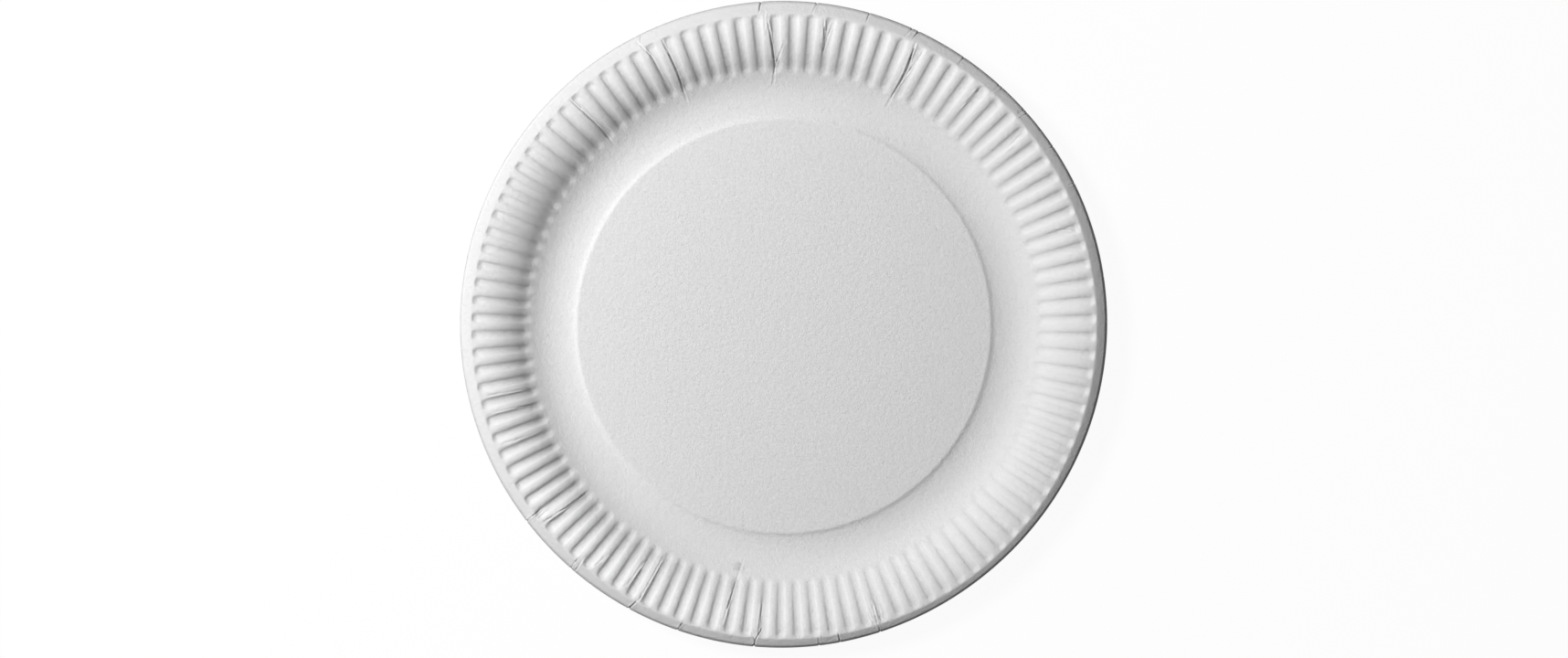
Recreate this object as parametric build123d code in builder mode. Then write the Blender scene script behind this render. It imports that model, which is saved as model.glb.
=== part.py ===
"""Round paper plate, pressed from one disc of board: raised panel, curved wall, fluted rim and turned-down lip.

The axis is Z. The plate stands on the flat ring around its panel, at Z = 0. Sizes are in millimetres.
"""

from build123d import *

import os
from math import atan2, cos, hypot, pi, radians, sin, tan

# Overall sizes
plate_diameter = 230.0
plate_height = 13.5
board_thickness = 0.4

# The section of the upper face: widths from the outer edge inwards, and heights
lip_width = 2.4
lip_drop = 3.1
ledge_width = 12.1
wall_run = 11.7
foot_width = 12.2
step_width = 3.4
panel_raise = 1.3

# Bend radii of the upper face. A bend is smaller where the runs beside it have no room for it.
panel_bend = 3.0
wall_bend = 16.0
rim_bend = 21.0
lip_bend = 4.5

# Flutes: round-ended grooves pressed into the wall and the ledge, evenly spaced
flute_edge_gap = 3.6
flute_length = 20.4
flute_pitch = 5.9
flute_depth = 1.0
flute_fade = 3.4
flute_fullness = 0.8

# How finely the fluted wall is lofted: rings from the foot to the lip, and points across each flute
ring_spacing = 1.0
points_per_flute = 7

# Corners of the section before they are bent
plate_radius = plate_diameter / 2
lip_end = (plate_radius, plate_height - lip_drop)
lip_corner = (plate_radius - lip_width, plate_height)
rim_corner = (lip_corner[0] - ledge_width, plate_height)
wall_corner = (rim_corner[0] - wall_run, board_thickness)
step_corner = (wall_corner[0] - foot_width, board_thickness)
panel_corner = (step_corner[0] - step_width, board_thickness + panel_raise)

# A bend of radius r that turns by an angle reaches r * tan(angle / 2) along the runs beside it
spare_run = 0.02
wall_length = hypot(wall_run, plate_height - board_thickness)
lip_tan = tan(atan2(lip_drop, lip_width) / 2)
wall_tan = tan(atan2(plate_height - board_thickness, wall_run) / 2)
step_tan = tan(atan2(panel_raise, step_width) / 2)
lip_reach = min(lip_bend * lip_tan, (1 - spare_run) * hypot(lip_width, lip_drop))
step_reach = min(panel_bend * step_tan, (1 - spare_run) * hypot(step_width, panel_raise) / 2)
upper_reach = min(rim_bend * wall_tan, (1 - spare_run) * (ledge_width - lip_reach))
lower_reach = min(wall_bend * wall_tan, (1 - spare_run) * (foot_width - step_reach))
wall_share = min(1, (1 - spare_run) * wall_length / (upper_reach + lower_reach))
upper_reach *= wall_share
lower_reach *= wall_share

# The flat foot ring runs from the panel's step to the wall's lower bend. The fluted wall starts just inside its edge.
foot_inner = step_corner[0] + step_reach
foot_outer = wall_corner[0] - lower_reach
foot_seam = (foot_outer - spare_run * (foot_outer - foot_inner), board_thickness)

flute_outer_radius = plate_radius - flute_edge_gap
flute_inner_radius = flute_outer_radius - flute_length
flute_count = round(pi * (flute_outer_radius + flute_inner_radius) / flute_pitch)
flute_angle = 360 / flute_count

# The upper face's line from the axis to the foot, and the under face's line a board's thickness below it
with BuildLine(Plane.XZ) as panel_top:
    FilletPolyline(
        (0, panel_corner[1]), panel_corner, step_corner, foot_seam, radius=step_reach / step_tan
    )
with BuildLine(Plane.XZ) as panel_underside:
    add(panel_top.line)
    offset(amount=board_thickness, side=Side.RIGHT, closed=False, mode=Mode.REPLACE)

# The upper face's line from the foot to the lip's edge
with BuildLine(Plane.XZ) as wall_top:
    FilletPolyline(
        foot_seam,
        wall_corner,
        rim_corner,
        lip_corner,
        lip_end,
        radius=[lower_reach / wall_tan, upper_reach / wall_tan, lip_reach / lip_tan],
    )
wall_line = wall_top.wires()[0]
ring_steps = round(wall_line.length / ring_spacing)
ring_places = [step / ring_steps for step in range(ring_steps + 1)]


def groove_depth(radius):
    """How deep the grooves are at a distance from the axis. They fade out at both ends."""
    end_gap = min(radius - flute_inner_radius, flute_outer_radius - radius)
    fade = min(max(end_gap / flute_fade, 0), 1)
    return flute_depth * (1 - cos(pi * fade)) / 2


def ring_edge(place, drop):
    """One flute's stretch of a ring, from ridge to ridge, at a place along the wall and a drop below its upper face."""
    centre = wall_line @ place
    along = wall_line % place
    shares = [point / (points_per_flute - 1) for point in range(points_per_flute)]
    points = []
    for share in shares:
        sunk = drop + groove_depth(centre.X) * ((1 - cos(2 * pi * share)) / 2) ** flute_fullness
        angle = radians(flute_angle) * (share - 0.5)
        radius = centre.X + sunk * along.Z
        points.append((radius * cos(angle), radius * sin(angle), centre.Z - sunk * along.X))
    half_turn = radians(flute_angle) / 2
    ends = [(sin(half_turn), cos(half_turn), 0), (-sin(half_turn), cos(half_turn), 0)]
    return Edge.make_spline(points, tangents=ends, parameters=shares)


def lofted_face(edges, ruled=False):
    return Shell.make_loft([Wire([edge]) for edge in edges], ruled=ruled).faces()[0]


# One flute of the wall: its upper face, its under face, and the lip's cut edge between them
upper_rings = [ring_edge(place, 0) for place in ring_places]
under_rings = [ring_edge(place, board_thickness) for place in ring_places]
flute_faces = [
    lofted_face(upper_rings),
    lofted_face(under_rings),
    lofted_face([upper_rings[-1], under_rings[-1]], ruled=True),
]

panel_faces = [
    face
    for line in (panel_top, panel_underside)
    for face in Shell.revolve(line.wires()[0], 360, Axis.Z).faces()
]
wall_faces = [
    face.rotate(Axis.Z, flute * flute_angle) for flute in range(flute_count) for face in flute_faces
]

with BuildPart() as plate:
    add(Solid(Shell(panel_faces + wall_faces)))

plate.part.label = "plate"
os.makedirs("parts", exist_ok=True)
export_step(plate.part, "parts/plate.step")
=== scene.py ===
import math

import bmesh
import bpy
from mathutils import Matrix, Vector, noise


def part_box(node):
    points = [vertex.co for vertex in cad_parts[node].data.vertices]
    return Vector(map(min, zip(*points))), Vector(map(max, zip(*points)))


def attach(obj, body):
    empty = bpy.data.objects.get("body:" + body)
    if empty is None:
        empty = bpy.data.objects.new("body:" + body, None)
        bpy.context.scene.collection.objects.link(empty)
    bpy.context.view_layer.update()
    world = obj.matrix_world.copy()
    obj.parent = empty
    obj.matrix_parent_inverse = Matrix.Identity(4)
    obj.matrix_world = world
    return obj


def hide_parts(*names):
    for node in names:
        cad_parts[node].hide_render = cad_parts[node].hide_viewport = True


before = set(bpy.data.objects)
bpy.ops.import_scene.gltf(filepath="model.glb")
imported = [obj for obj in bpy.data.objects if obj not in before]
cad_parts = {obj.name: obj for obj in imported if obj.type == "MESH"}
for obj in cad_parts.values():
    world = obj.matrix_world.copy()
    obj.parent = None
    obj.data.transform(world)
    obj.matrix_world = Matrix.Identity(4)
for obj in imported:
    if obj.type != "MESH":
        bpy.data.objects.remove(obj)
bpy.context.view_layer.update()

mm = 0.001
lowCorner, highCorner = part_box("plate")
plateRadius = highCorner[0]
plateHeight = highCorner[2]


class Socket:  # wraps an output, so that sums on it add Math nodes
    def __init__(self, paint, output):
        self.paint = paint
        self.output = output

    def math(self, operation, first, second=0.0):
        return self.paint.node("ShaderNodeMath", {"operation": operation}, {0: first, 1: second})

    def __add__(self, other):
        return self.math("ADD", self, other)

    def __radd__(self, other):
        return self.math("ADD", other, self)

    def __sub__(self, other):
        return self.math("SUBTRACT", self, other)

    def __rsub__(self, other):
        return self.math("SUBTRACT", other, self)

    def __mul__(self, other):
        return self.math("MULTIPLY", self, other)

    def __rmul__(self, other):
        return self.math("MULTIPLY", other, self)

    def __abs__(self):
        return self.math("ABSOLUTE", self)


class Paint:  # one material and its nodes
    def __init__(self, name):
        self.material = bpy.data.materials.new(name)
        self.material.use_nodes = True
        self.tree = self.material.node_tree
        self.tree.nodes.clear()

    def node(self, kind, settings=None, sockets=None, output=0):
        made = self.tree.nodes.new(kind)
        for key, value in (settings or {}).items():
            setattr(made, key, value)
        for key, value in (sockets or {}).items():
            if isinstance(value, Socket):
                self.tree.links.new(value.output, made.inputs[key])
            else:
                made.inputs[key].default_value = value
        return Socket(self, made.outputs[output]) if made.outputs else None


boardShape = {  # sizes in mm, angles in degrees; each bend is a radius and its number of steps
    "thickness": 0.4,
    "panelRaise": 1.3, "panelBend": 2.0, "panelSteps": 5,
    "stepWidth": 1.3, "stepBend": 5.0, "stepSteps": 5,  # the steep part of the step
    "easeWidth": 2.6, "easeRaise": 0.52, "easeBend": 16.0, "easeSteps": 4,  # its easy part, down to the foot
    "footWidth": 10.2,
    "wallRun": 12.5, "wallBend": 18.0, "wallSteps": 14,
    "rimBend": 21.0, "rimSteps": 24, "ledgeWidth": 10.5,
    "lipWidth": 4.0, "lipDrop": 3.1, "lipBend": 2.2, "lipSteps": 5,
    "edgeWidth": 0.9, "edgeDrop": 1.4, "edgeBend": 1.1, "edgeSteps": 3,  # the last, steeper part of the lip
    "fineFrom": 89.9, "plainStepsPerFlute": 2, "stepsPerFlute": 8,  # points round the plate, per flute
    "mergeWithin": 0.01, "ringWithin": 0.001,
    "fluteCount": 108, "fluteTurn": 10.16,
    "fluteInner": 89.6, "fluteOuter": 112.1, "fluteDepth": 0.96, "innerDepth": 0.62,
    "floorInner": 0.2, "floorOuter": 0.31,  # half of the flat floor, in parts of the half pitch
    "flankInner": 0.54, "flankOuter": 0.36,  # the slope beside the floor, in the same parts
    "innerRadius": 92.5, "outerRadius": 104.0,  # where the inner values end and the outer ones begin
    "fluteCrowding": 0.62,  # draws the points towards the slopes, from 0 to 1
    "depthChanges": [(302, -0.36, 36), (214, 0.15, 26)],  # turn, part of the depth, width in degrees
    "depthSpread": 0.1, "depthScale": 0.7, "depthSeed": (3.1, 0.4),  # chance differences between flutes
    "drift": 2.15, "driftFrom": 50.4, "secondDrift": 0.34, "secondDriftFrom": 40.1,
    "sag": 0.16, "sagFrom": 88.0, "sagFull": 104.0, "sagScale": 2.6,
    "offCentre": 0.55, "offCentreTurn": 262,  # how far the dies stood from the blank's middle
    "lipFrom": 110.5,
    "lipPulls": [(312, 1.0, 0.8, 34), (50, 0.5, 0, 24), (155, 0, 1.0, 55)],  # turn, in, up, width in degrees
}


def sectionPoints(shape):  # the upper face's line from the axis to the lip's edge, in mm
    radius = plateRadius / mm
    height = plateHeight / mm
    base = shape["thickness"]
    lip = radius - shape["lipWidth"]
    rim = lip - shape["ledgeWidth"]
    wall = rim - shape["wallRun"]
    ease = wall - shape["footWidth"]
    step = ease - shape["easeWidth"]
    panel = step - shape["stepWidth"]
    edge = radius - shape["edgeWidth"]
    tip = height - shape["lipDrop"]
    corners = [
        (Vector((panel, base + shape["panelRaise"])), shape["panelBend"], shape["panelSteps"]),
        (Vector((step, base + shape["easeRaise"])), shape["stepBend"], shape["stepSteps"]),
        (Vector((ease, base)), shape["easeBend"], shape["easeSteps"]),
        (Vector((wall, base)), shape["wallBend"], shape["wallSteps"]),
        (Vector((rim, height)), shape["rimBend"], shape["rimSteps"]),
        (Vector((lip, height)), shape["lipBend"], shape["lipSteps"]),
        (Vector((edge, tip + shape["edgeDrop"])), shape["edgeBend"], shape["edgeSteps"]),
    ]
    start = Vector((0, base + shape["panelRaise"]))
    end = Vector((radius, tip))
    stops = [start] + [corner for corner, bend, steps in corners] + [end]
    points = [start, Vector((panel / 2, start.y))]
    for index, (corner, bend, steps) in enumerate(corners):
        before = (stops[index] - corner).normalized()
        after = (stops[index + 2] - corner).normalized()
        half = (math.pi - before.angle(after)) / 2
        centre = corner + (before + after).normalized() * (bend / math.cos(half))
        first = corner + before * bend * math.tan(half) - centre
        leftTurn = before.cross(after) < 0
        for place in range(steps + 1):
            angle = 2 * half * place / steps * (1 if leftTurn else -1)
            across = first.x * math.cos(angle) - first.y * math.sin(angle)
            up = first.x * math.sin(angle) + first.y * math.cos(angle)
            points.append(centre + Vector((across, up)))
    points.append((points[-1] + end) / 2)
    points.append(end)
    return points


def smoothRise(value):  # 0 below 0, 1 above 1, and an even curve between
    part = min(max(value, 0), 1)
    return part * part * (3 - 2 * part)


def blend(first, second, part):
    return first + (second - first) * part


def nearness(turn, middle, width):  # 1 at the middle turn, falling away to both sides
    away = (turn - middle + 180) % 360 - 180
    return math.exp(-(away / width) ** 2)


def polarPoint(turn, radius):
    return Vector((math.cos(math.radians(turn)), math.sin(math.radians(turn)), 0)) * radius * mm


def spinBoard(shape):  # the plain upper face, with more points round the flutes and the lip
    bm = bmesh.new()
    points = sectionPoints(shape)
    line = [bm.verts.new((point.x * mm, 0, point.y * mm)) for point in points]
    for first, second in zip(line, line[1:]):
        bm.edges.new((first, second))
    steps = shape["fluteCount"] * shape["plainStepsPerFlute"]
    bmesh.ops.spin(bm, geom=bm.verts[:] + bm.edges[:], cent=(0, 0, 0), axis=(0, 0, 1), angle=2 * math.pi,
                   steps=steps, use_merge=True)
    bmesh.ops.remove_doubles(bm, verts=bm.verts[:], dist=shape["mergeWithin"] * mm)
    fineRings = []
    for edge in bm.edges:
        first, second = edge.verts
        level = abs(first.co.z - second.co.z) < shape["ringWithin"] * mm
        around = abs(first.co.xy.length - second.co.xy.length) < shape["ringWithin"] * mm
        if level and around and first.co.xy.length > shape["fineFrom"] * mm:
            fineRings.append(edge)
    cuts = shape["stepsPerFlute"] // shape["plainStepsPerFlute"] - 1
    bmesh.ops.subdivide_edges(bm, edges=fineRings, cuts=cuts, use_grid_fill=True)
    ringRadii = [point.x for point in points]
    for vert in bm.verts:
        radius = vert.co.xy.length / mm
        if radius > shape["fineFrom"] - 1:
            ring = min(ringRadii, key=lambda place: abs(place - radius))
            vert.co.xy *= ring / radius  # back onto the circle from the chord
    bmesh.ops.recalc_face_normals(bm, faces=bm.faces[:])
    if sum(face.normal.z for face in bm.faces) < 0:
        bmesh.ops.reverse_faces(bm, faces=bm.faces[:])
    bm.normal_update()
    lean = bm.verts.layers.float.new("lean")  # how far the plain board leans outwards here
    for vert in bm.verts:
        outward = vert.normal.xy.dot(vert.co.xy.normalized()) if vert.co.xy.length > mm else 0
        vert[lean] = math.atan2(outward, vert.normal.z)
    return bm


def leanNormal(lean, direction):
    return direction * math.sin(lean) + Vector((0, 0, math.cos(lean)))


def fluteDepth(shape, radius, flutes):  # flutes: the turn counted in flutes, whole at the middle of each
    halfPitch = math.pi * radius / shape["fluteCount"]
    across = abs(flutes - round(flutes)) * 2 * halfPitch
    beyond = max(shape["fluteInner"] + halfPitch - radius, radius + halfPitch - shape["fluteOuter"], 0)
    fromMiddle = math.hypot(across, beyond) / halfPitch
    outerPart = smoothRise((radius - shape["innerRadius"]) / (shape["outerRadius"] - shape["innerRadius"]))
    floor = blend(shape["floorInner"], shape["floorOuter"], outerPart)
    flank = blend(shape["flankInner"], shape["flankOuter"], outerPart)
    depth = blend(shape["innerDepth"], shape["fluteDepth"], outerPart)
    chance = noise.noise(Vector((round(flutes) * shape["depthScale"], *shape["depthSeed"])))
    turn = flutes * 360 / shape["fluteCount"] + shape["fluteTurn"]
    for changeTurn, amount, width in shape["depthChanges"]:
        depth *= 1 + amount * nearness(turn, changeTurn, width)
    depth *= 1 + shape["depthSpread"] * chance
    return depth * (1 - smoothRise((fromMiddle - floor) / flank))


def pressFlutes(bm, shape):
    count = shape["fluteCount"]
    lean = bm.verts.layers.float["lean"]
    for vert in bm.verts:
        radius = vert.co.xy.length / mm
        if radius < shape["fineFrom"]:
            continue
        angle = math.atan2(vert.co.y, vert.co.x)
        angle += shape["fluteCrowding"] * math.sin(2 * count * angle) / (2 * count)
        direction = Vector((math.cos(angle), math.sin(angle), 0))
        depth = fluteDepth(shape, radius, angle * count / (2 * math.pi))
        vert.co = direction * radius * mm + Vector((0, 0, vert.co.z))
        vert.co -= leanNormal(vert[lean], direction) * depth * mm


def driftBoard(bm, shape):  # the uneven spacing of the flutes, the uneven rim and the dies' offset
    offset = polarPoint(shape["offCentreTurn"], shape["offCentre"])
    for vert in bm.verts:
        radius = vert.co.xy.length / mm
        angle = math.degrees(math.atan2(vert.co.y, vert.co.x))
        turned = angle + shape["fluteTurn"]
        turned += shape["drift"] * math.sin(math.radians(angle - shape["driftFrom"]))
        turned += shape["secondDrift"] * math.sin(math.radians(2 * (angle - shape["secondDriftFrom"])))
        reach = smoothRise((radius - shape["sagFrom"]) / (shape["sagFull"] - shape["sagFrom"]))
        swell = 0.5 + 0.5 * noise.noise(polarPoint(turned, shape["sagScale"]) / mm)
        height = vert.co.z - shape["sag"] * swell * reach * mm
        lipPart = smoothRise((radius - shape["lipFrom"]) / (plateRadius / mm - shape["lipFrom"]))
        for pullTurn, inwards, upwards, width in shape["lipPulls"]:
            part = lipPart * nearness(turned, pullTurn, width)
            radius -= inwards * part
            height += upwards * part * mm
        vert.co = polarPoint(turned, radius) + offset * (1 - lipPart) + Vector((0, 0, height))


foldShape = {
    "cuts": (-2, -1, 0, 1, 2), "reach": 3.2,  # in half widths of the fold
    "cutWithin": 0.03, "endLength": 1.2, "lipReach": 2.4,  # mm
    "endPart": 0.35, "shoulder": 0.3, "lipPush": 0.6,  # parts of the fold's depth
}

# each fold's outer turn and radius, inner turn and radius, half width and depth, in degrees and mm
# a minus before the depth raises the board instead
foldPlaces = [
    (64.9, 110.0, 64.3, 99.5, 0.55, 0.61), (64.3, 99.5, 64.9, 86.0, 0.5, 0.52),
    (62.9, 108.0, 64.5, 94.0, 0.4, 0.32),
    (92.9, 106.5, 92.0, 92.5, 0.5, 0.52), (92.0, 92.5, 92.6, 86.0, 0.45, 0.41),
    (90.1, 99.5, 92.1, 92.0, 0.4, 0.38),
    (113.2, 110.0, 112.9, 98.0, 0.5, 0.49), (112.9, 98.0, 113.6, 86.4, 0.5, 0.49),
    (133.6, 110.3, 133.0, 97.0, 0.5, 0.52), (133.0, 97.0, 133.3, 89.5, 0.45, 0.36),
    (239.0, 106.8, 239.4, 98.0, 0.5, 0.55), (242.2, 110.4, 242.6, 93.0, 0.45, 0.52),
    (219.4, 109.9, 220.0, 101.5, 0.5, 0.52), (220.0, 101.5, 220.3, 93.0, 0.45, 0.32),
    (258.4, 107.2, 259.0, 98.5, 0.45, 0.49), (259.0, 98.5, 260.2, 85.0, 0.4, 0.38),
    (82.5, 109.0, 82.0, 102.5, 0.4, 0.35), (80.8, 108.5, 81.9, 98.0, 0.4, 0.29),
    (193.5, 108.0, 194.0, 95.0, 0.45, 0.41), (196.8, 107.0, 197.6, 94.0, 0.4, 0.32),
    (50.4, 108.8, 50.9, 99.0, 0.35, 0.2), (117.4, 112.6, 116.2, 105.5, 0.45, 0.51),
    (116.2, 105.5, 115.9, 94.0, 0.45, 0.26),
    (158.2, 107.5, 158.9, 99.5, 0.4, -0.29), (169.6, 107.0, 169.2, 98.0, 0.4, -0.29),
    (17.6, 109.8, 19.0, 103.5, 0.4, 0.38), (38.9, 109.0, 38.1, 100.5, 0.4, 0.26),
    (231.6, 110.2, 232.4, 104.5, 0.4, 0.32), (203.0, 108.0, 203.6, 97.0, 0.4, 0.26),
    (287.4, 109.0, 287.6, 104.0, 0.45, 0.43), (265.2, 110.0, 265.6, 99.0, 0.4, 0.23),
    (94.0, 115.6, 94.6, 111.0, 0.45, 0.69), (93.2, 111.0, 93.4, 104.5, 0.5, -0.26),
    (84.0, 115.6, 84.8, 111.0, 0.4, 0.65), (116.2, 115.6, 117.4, 112.2, 0.35, -0.36),
    (74.6, 115.6, 74.8, 111.5, 0.35, 0.33),
    (65.2, 115.6, 65.8, 111.0, 0.35, 0.54), (66.4, 115.6, 67.0, 112.0, 0.35, 0.4),
    (56.0, 115.6, 56.2, 111.5, 0.35, 0.29),
    (47.2, 115.6, 47.6, 110.6, 0.25, 0.3), (48.0, 115.6, 48.3, 111.4, 0.25, 0.26),
    (40.9, 115.6, 41.3, 110.4, 0.25, 0.32), (41.8, 115.6, 42.0, 111.2, 0.25, 0.28),
    (26.0, 115.6, 26.1, 111.5, 0.35, 0.29), (33.4, 115.6, 33.6, 112.0, 0.35, 0.29),
    (217.4, 115.6, 217.2, 109.0, 0.4, 0.54), (218.1, 113.5, 217.9, 107.5, 0.4, -0.29),
    (228.8, 115.6, 228.6, 110.5, 0.35, 0.4), (229.7, 114.8, 229.5, 110.0, 0.35, 0.36),
    (241.2, 115.6, 242.0, 111.0, 0.45, 0.65), (250.6, 115.6, 251.2, 111.6, 0.4, 0.61),
    (264.6, 115.6, 264.8, 112.4, 0.45, 0.72), (264.8, 112.4, 265.9, 108.0, 0.4, 0.4),
    (264.8, 112.4, 263.9, 109.5, 0.4, 0.36),
    (276.2, 115.6, 276.3, 111.2, 0.4, 0.44), (280.0, 115.6, 280.0, 110.5, 0.35, 0.4),
    (287.4, 115.6, 287.4, 109.0, 0.4, 0.61), (286.6, 110.6, 286.3, 106.4, 0.4, 0.32),
    (288.2, 110.6, 288.6, 106.4, 0.4, 0.29), (316.0, 115.6, 316.0, 112.0, 0.35, 0.2),
    (300.8, 115.6, 301.0, 112.0, 0.35, 0.17), (8.6, 115.6, 8.7, 112.2, 0.35, 0.17),
]


def foldBoard(bm, shape, places):
    for outerTurn, outerRadius, innerTurn, innerRadius, halfWidth, depth in places:
        outer = polarPoint(outerTurn, outerRadius)
        inner = polarPoint(innerTurn, innerRadius)
        length = (outer - inner).length
        along = (outer - inner) / length
        across = Vector((-along.y, along.x, 0))

        def place(point):  # along the fold and across it
            flat = Vector((point.x, point.y, 0)) - inner
            return flat.dot(along), flat.dot(across)

        reach = shape["reach"] * halfWidth * mm
        near = []
        for face in bm.faces:
            forward, aside = place(face.calc_center_median())
            if -reach < forward < length + reach and abs(aside) < reach:
                near.append(face)
        for part in shape["cuts"]:
            geom = set(near)
            for face in near:
                geom.update(face.verts)
                geom.update(face.edges)
            cut = bmesh.ops.bisect_plane(bm, geom=list(geom), dist=shape["cutWithin"] * mm,
                                         plane_co=inner + across * part * halfWidth * mm, plane_no=across)
            near = [item for item in cut["geom"] if isinstance(item, bmesh.types.BMFace)]
        for vert in {vert for face in near for vert in face.verts}:
            forward, aside = place(vert.co)
            end = smoothRise(min(forward, length - forward) / (shape["endLength"] * mm) + shape["endPart"])
            aside = abs(aside) / (halfWidth * mm)
            groove = max(1 - aside, 0) - shape["shoulder"] * max(1 - abs(aside - 1), 0)
            sink = groove * depth * end * mm
            lip = smoothRise((vert.co.xy.length - plateRadius) / (shape["lipReach"] * mm) + 1)
            vert.co.xy *= 1 - max(sink, 0) * lip * shape["lipPush"] / plateRadius
            vert.co.z = min(vert.co.z - sink, plateHeight)


def addUnderside(bm, shape):  # the lower face, a board's thickness below, and the cut edge between
    lean = bm.verts.layers.float["lean"]
    copy = bmesh.ops.duplicate(bm, geom=bm.verts[:] + bm.edges[:] + bm.faces[:])
    below = [item for item in copy["geom"] if isinstance(item, bmesh.types.BMFace)]
    bmesh.ops.reverse_faces(bm, faces=below)
    for vert in {vert for face in below for vert in face.verts}:
        direction = Vector((vert.co.x, vert.co.y, 0)).normalized()
        vert.co -= leanNormal(vert[lean], direction) * shape["thickness"] * mm
    bmesh.ops.bridge_loops(bm, edges=[edge for edge in bm.edges if edge.is_boundary])


def makeBoard(shape, places):
    bm = spinBoard(shape)
    pressFlutes(bm, shape)
    driftBoard(bm, shape)
    print("flutes pressed:", len(bm.faces), "faces")
    foldBoard(bm, foldShape, places)
    addUnderside(bm, shape)
    print("folds and underside made:", len(bm.faces), "faces")
    mesh = bpy.data.meshes.new("plateBoard")
    bm.to_mesh(mesh)
    bm.free()
    mesh.shade_smooth()
    board = bpy.data.objects.new("plateBoard", mesh)
    bpy.context.collection.objects.link(board)
    return board


boardFinish = {
    "colour": (0.80, 0.80, 0.80), "shade": (0.73, 0.73, 0.73),
    # painted light: the raised outer rim gets a lighter colour than the rest of the board, standing in for
    # the brighter light that falls there
    "rimPaintedLightColour": (0.87, 0.87, 0.87), "rimLightFrom": 0.099, "rimLightTo": 0.106,  # the places are in metres
    "rimLightEndFrom": 0.1105, "rimLightEndTo": 0.1121,
    "roughness": 0.88, "specular": 0.3,
    "cloudScale": 90.0, "cloudDetail": 3.0, "cloudPart": 0.3,
    "mottleScale": 620.0, "mottleDetail": 6.0, "mottleRoughness": 0.65, "mottlePart": 0.7,
    "fibreScale": 1500.0, "fibreDetail": 3.0, "fibreBend": 1.2, "strandSharpness": 4,
    "grainDistance": 0.00037, "mottleHeight": 0.75, "strandHeight": 0.25,
}


def paintBoard(finish):
    paint = Paint("whiteBoard")
    place = paint.node("ShaderNodeTexCoord", output=3)
    cloud = paint.node("ShaderNodeTexNoise", {},
                       {"Vector": place, "Scale": finish["cloudScale"], "Detail": finish["cloudDetail"]})
    mottle = paint.node("ShaderNodeTexNoise", {},
                        {"Vector": place, "Scale": finish["mottleScale"], "Detail": finish["mottleDetail"],
                         "Roughness": finish["mottleRoughness"]})
    fibre = paint.node("ShaderNodeTexNoise", {},
                       {"Vector": place, "Scale": finish["fibreScale"], "Detail": finish["fibreDetail"],
                        "Distortion": finish["fibreBend"]})
    tone = cloud * finish["cloudPart"] + mottle * finish["mottlePart"]
    fromAxis = paint.node("ShaderNodeVectorMath", {"operation": "LENGTH"}, {0: place}, output=1)
    # painted light: a mask for the ring from the wall's top to the lip, where the board is painted lighter
    # in place of the extra light it gets
    rim = paint.node("ShaderNodeMapRange", {},
                     {"Value": fromAxis, "From Min": finish["rimLightFrom"], "From Max": finish["rimLightTo"]})
    lip = paint.node("ShaderNodeMapRange", {},
                     {"Value": fromAxis, "From Min": finish["rimLightEndFrom"], "From Max": finish["rimLightEndTo"]})
    rim = rim * (1 - lip)
    colourWithPaintedRimLight = paint.node("ShaderNodeMix", {"data_type": "RGBA"},
                         {0: rim, 6: finish["colour"] + (1.0,), 7: finish["rimPaintedLightColour"] + (1.0,)}, output=2)
    colour = paint.node("ShaderNodeMix", {"data_type": "RGBA"},
                        {0: tone, 6: colourWithPaintedRimLight, 7: finish["shade"] + (1.0,)}, output=2)
    strands = 1 - abs(fibre - 0.5) * finish["strandSharpness"]
    height = mottle * finish["mottleHeight"] + strands * finish["strandHeight"]
    bump = paint.node("ShaderNodeBump", {},
                      {"Strength": 1.0, "Distance": finish["grainDistance"], "Height": height})
    surface = paint.node("ShaderNodeBsdfPrincipled", {},
                         {"Base Color": colour, "Roughness": finish["roughness"], "Normal": bump,
                          "Specular IOR Level": finish["specular"]})
    paint.node("ShaderNodeOutputMaterial", {}, {"Surface": surface})
    return paint.material


board = makeBoard(boardShape, foldPlaces)
board.data.materials.append(paintBoard(boardFinish))
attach(board, "root")
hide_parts("plate")
print("board made")


studio = {
    "lampTurn": 155, "lampRise": 50.5, "lampAway": 0.95, "lampSize": 0.3, "lampPower": 10.26,
    "worldLight": 0.06,
    "cameraAway": 1.5, "sensorWidth": 36, "framedWidth": 0.5571, "cameraDown": 0.00156,
    "floorHalf": 3.0, "floorGap": 0.05 * mm,
    "floorShade": 0.9, "bounceShade": 0.4,  # what the camera sees, and what lights the plate
    "floorWhite": 0.95,  # how much of the seen floor glows white
}


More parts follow.
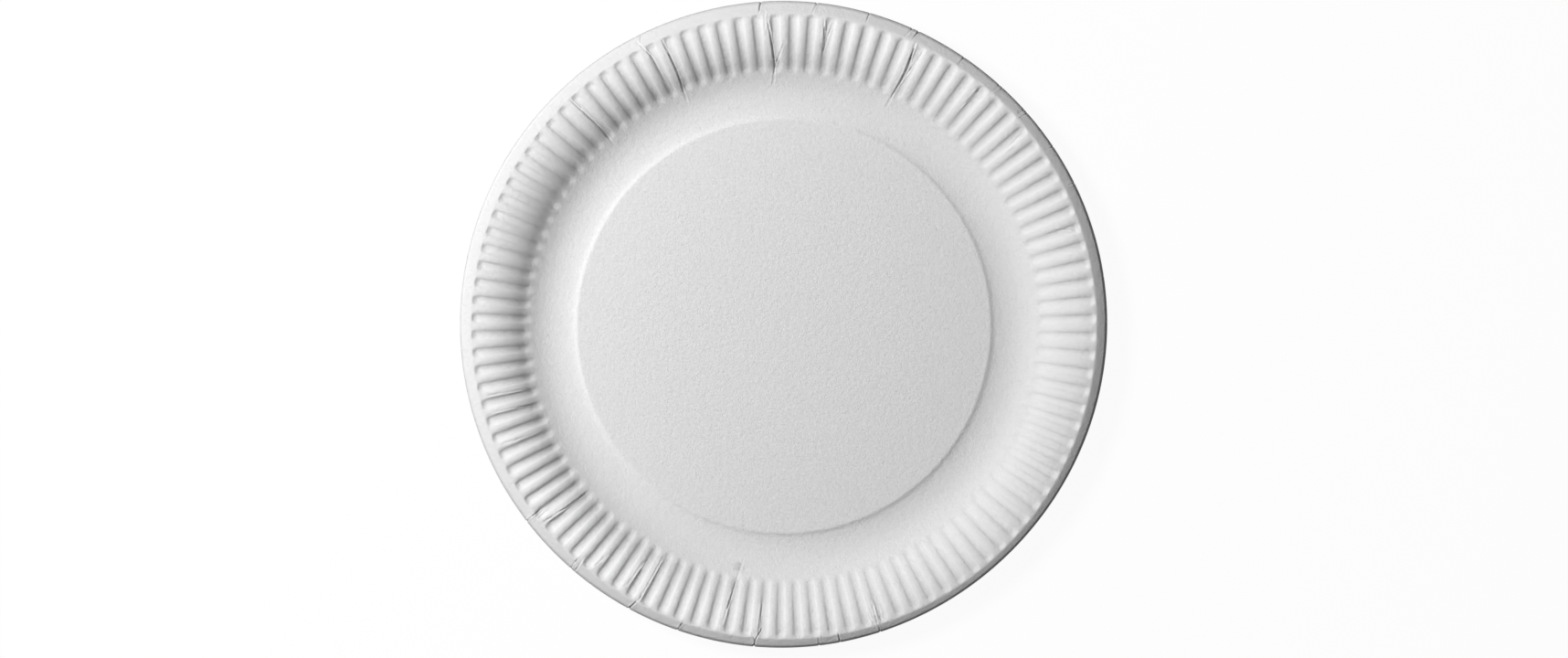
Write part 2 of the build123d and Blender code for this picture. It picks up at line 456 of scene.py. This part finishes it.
def paintFloor(values):
    paint = Paint("paleFloor")
    rays = paint.node("ShaderNodeLightPath")
    glossy = Socket(paint, rays.output.node.outputs["Is Glossy Ray"])
    through = Socket(paint, rays.output.node.outputs["Is Transmission Ray"])
    seen = rays + glossy + through
    bounce, shade = values["bounceShade"], values["floorShade"]
    colour = paint.node("ShaderNodeMix", {"data_type": "RGBA"},
                        {0: rays, 6: (bounce, bounce, bounce, 1), 7: (shade, shade, shade, 1)}, output=2)
    matt = paint.node("ShaderNodeBsdfDiffuse", {}, {"Color": colour})
    white = paint.node("ShaderNodeEmission", {}, {"Color": (1, 1, 1, 1), "Strength": 1.0})
    mixed = paint.node("ShaderNodeMixShader", {}, {0: seen * values["floorWhite"], 1: matt, 2: white})
    paint.node("ShaderNodeOutputMaterial", {}, {"Surface": mixed})
    return paint.material


def makeFloor(values):
    bm = bmesh.new()
    bmesh.ops.create_grid(bm, x_segments=1, y_segments=1, size=values["floorHalf"])
    mesh = bpy.data.meshes.new("floor")
    bm.to_mesh(mesh)
    bm.free()
    floor = bpy.data.objects.new("floor", mesh)
    bpy.context.collection.objects.link(floor)
    floor.location.z = lowCorner[2] - values["floorGap"]
    floor.data.materials.append(paintFloor(values))
    return floor


def makeLight(values):
    lamp = bpy.data.lights.new("softKey", "AREA")
    lamp.shape = "DISK"
    lamp.size = values["lampSize"]
    lamp.energy = values["lampPower"]
    light = bpy.data.objects.new("softKey", lamp)
    turn, rise = math.radians(values["lampTurn"]), math.radians(values["lampRise"])
    place = Vector((math.cos(turn) * math.cos(rise), math.sin(turn) * math.cos(rise), math.sin(rise)))
    light.location = place * values["lampAway"]
    light.rotation_euler = place.to_track_quat("Z", "Y").to_euler()
    bpy.context.collection.objects.link(light)


def makeWorld(values):
    world = bpy.data.worlds.new("room")
    world.use_nodes = True
    world.node_tree.nodes["Background"].inputs["Color"].default_value = (1, 1, 1, 1)
    world.node_tree.nodes["Background"].inputs["Strength"].default_value = values["worldLight"]
    bpy.context.scene.world = world


def makeCamera(values):
    lens = bpy.data.cameras.new("camera")
    lens.sensor_width = values["sensorWidth"]
    lens.lens = lens.sensor_width * values["cameraAway"] / values["framedWidth"]
    camera = bpy.data.objects.new("camera", lens)
    lipEdge = plateHeight - boardShape["lipDrop"] * mm
    camera.location = (0, -values["cameraDown"], lipEdge + values["cameraAway"])
    bpy.context.collection.objects.link(camera)
    bpy.context.scene.camera = camera


makeFloor(studio)
makeLight(studio)
makeWorld(studio)
makeCamera(studio)
bpy.context.scene.view_settings.view_transform = "Standard"
print("floor, lamp and camera made")
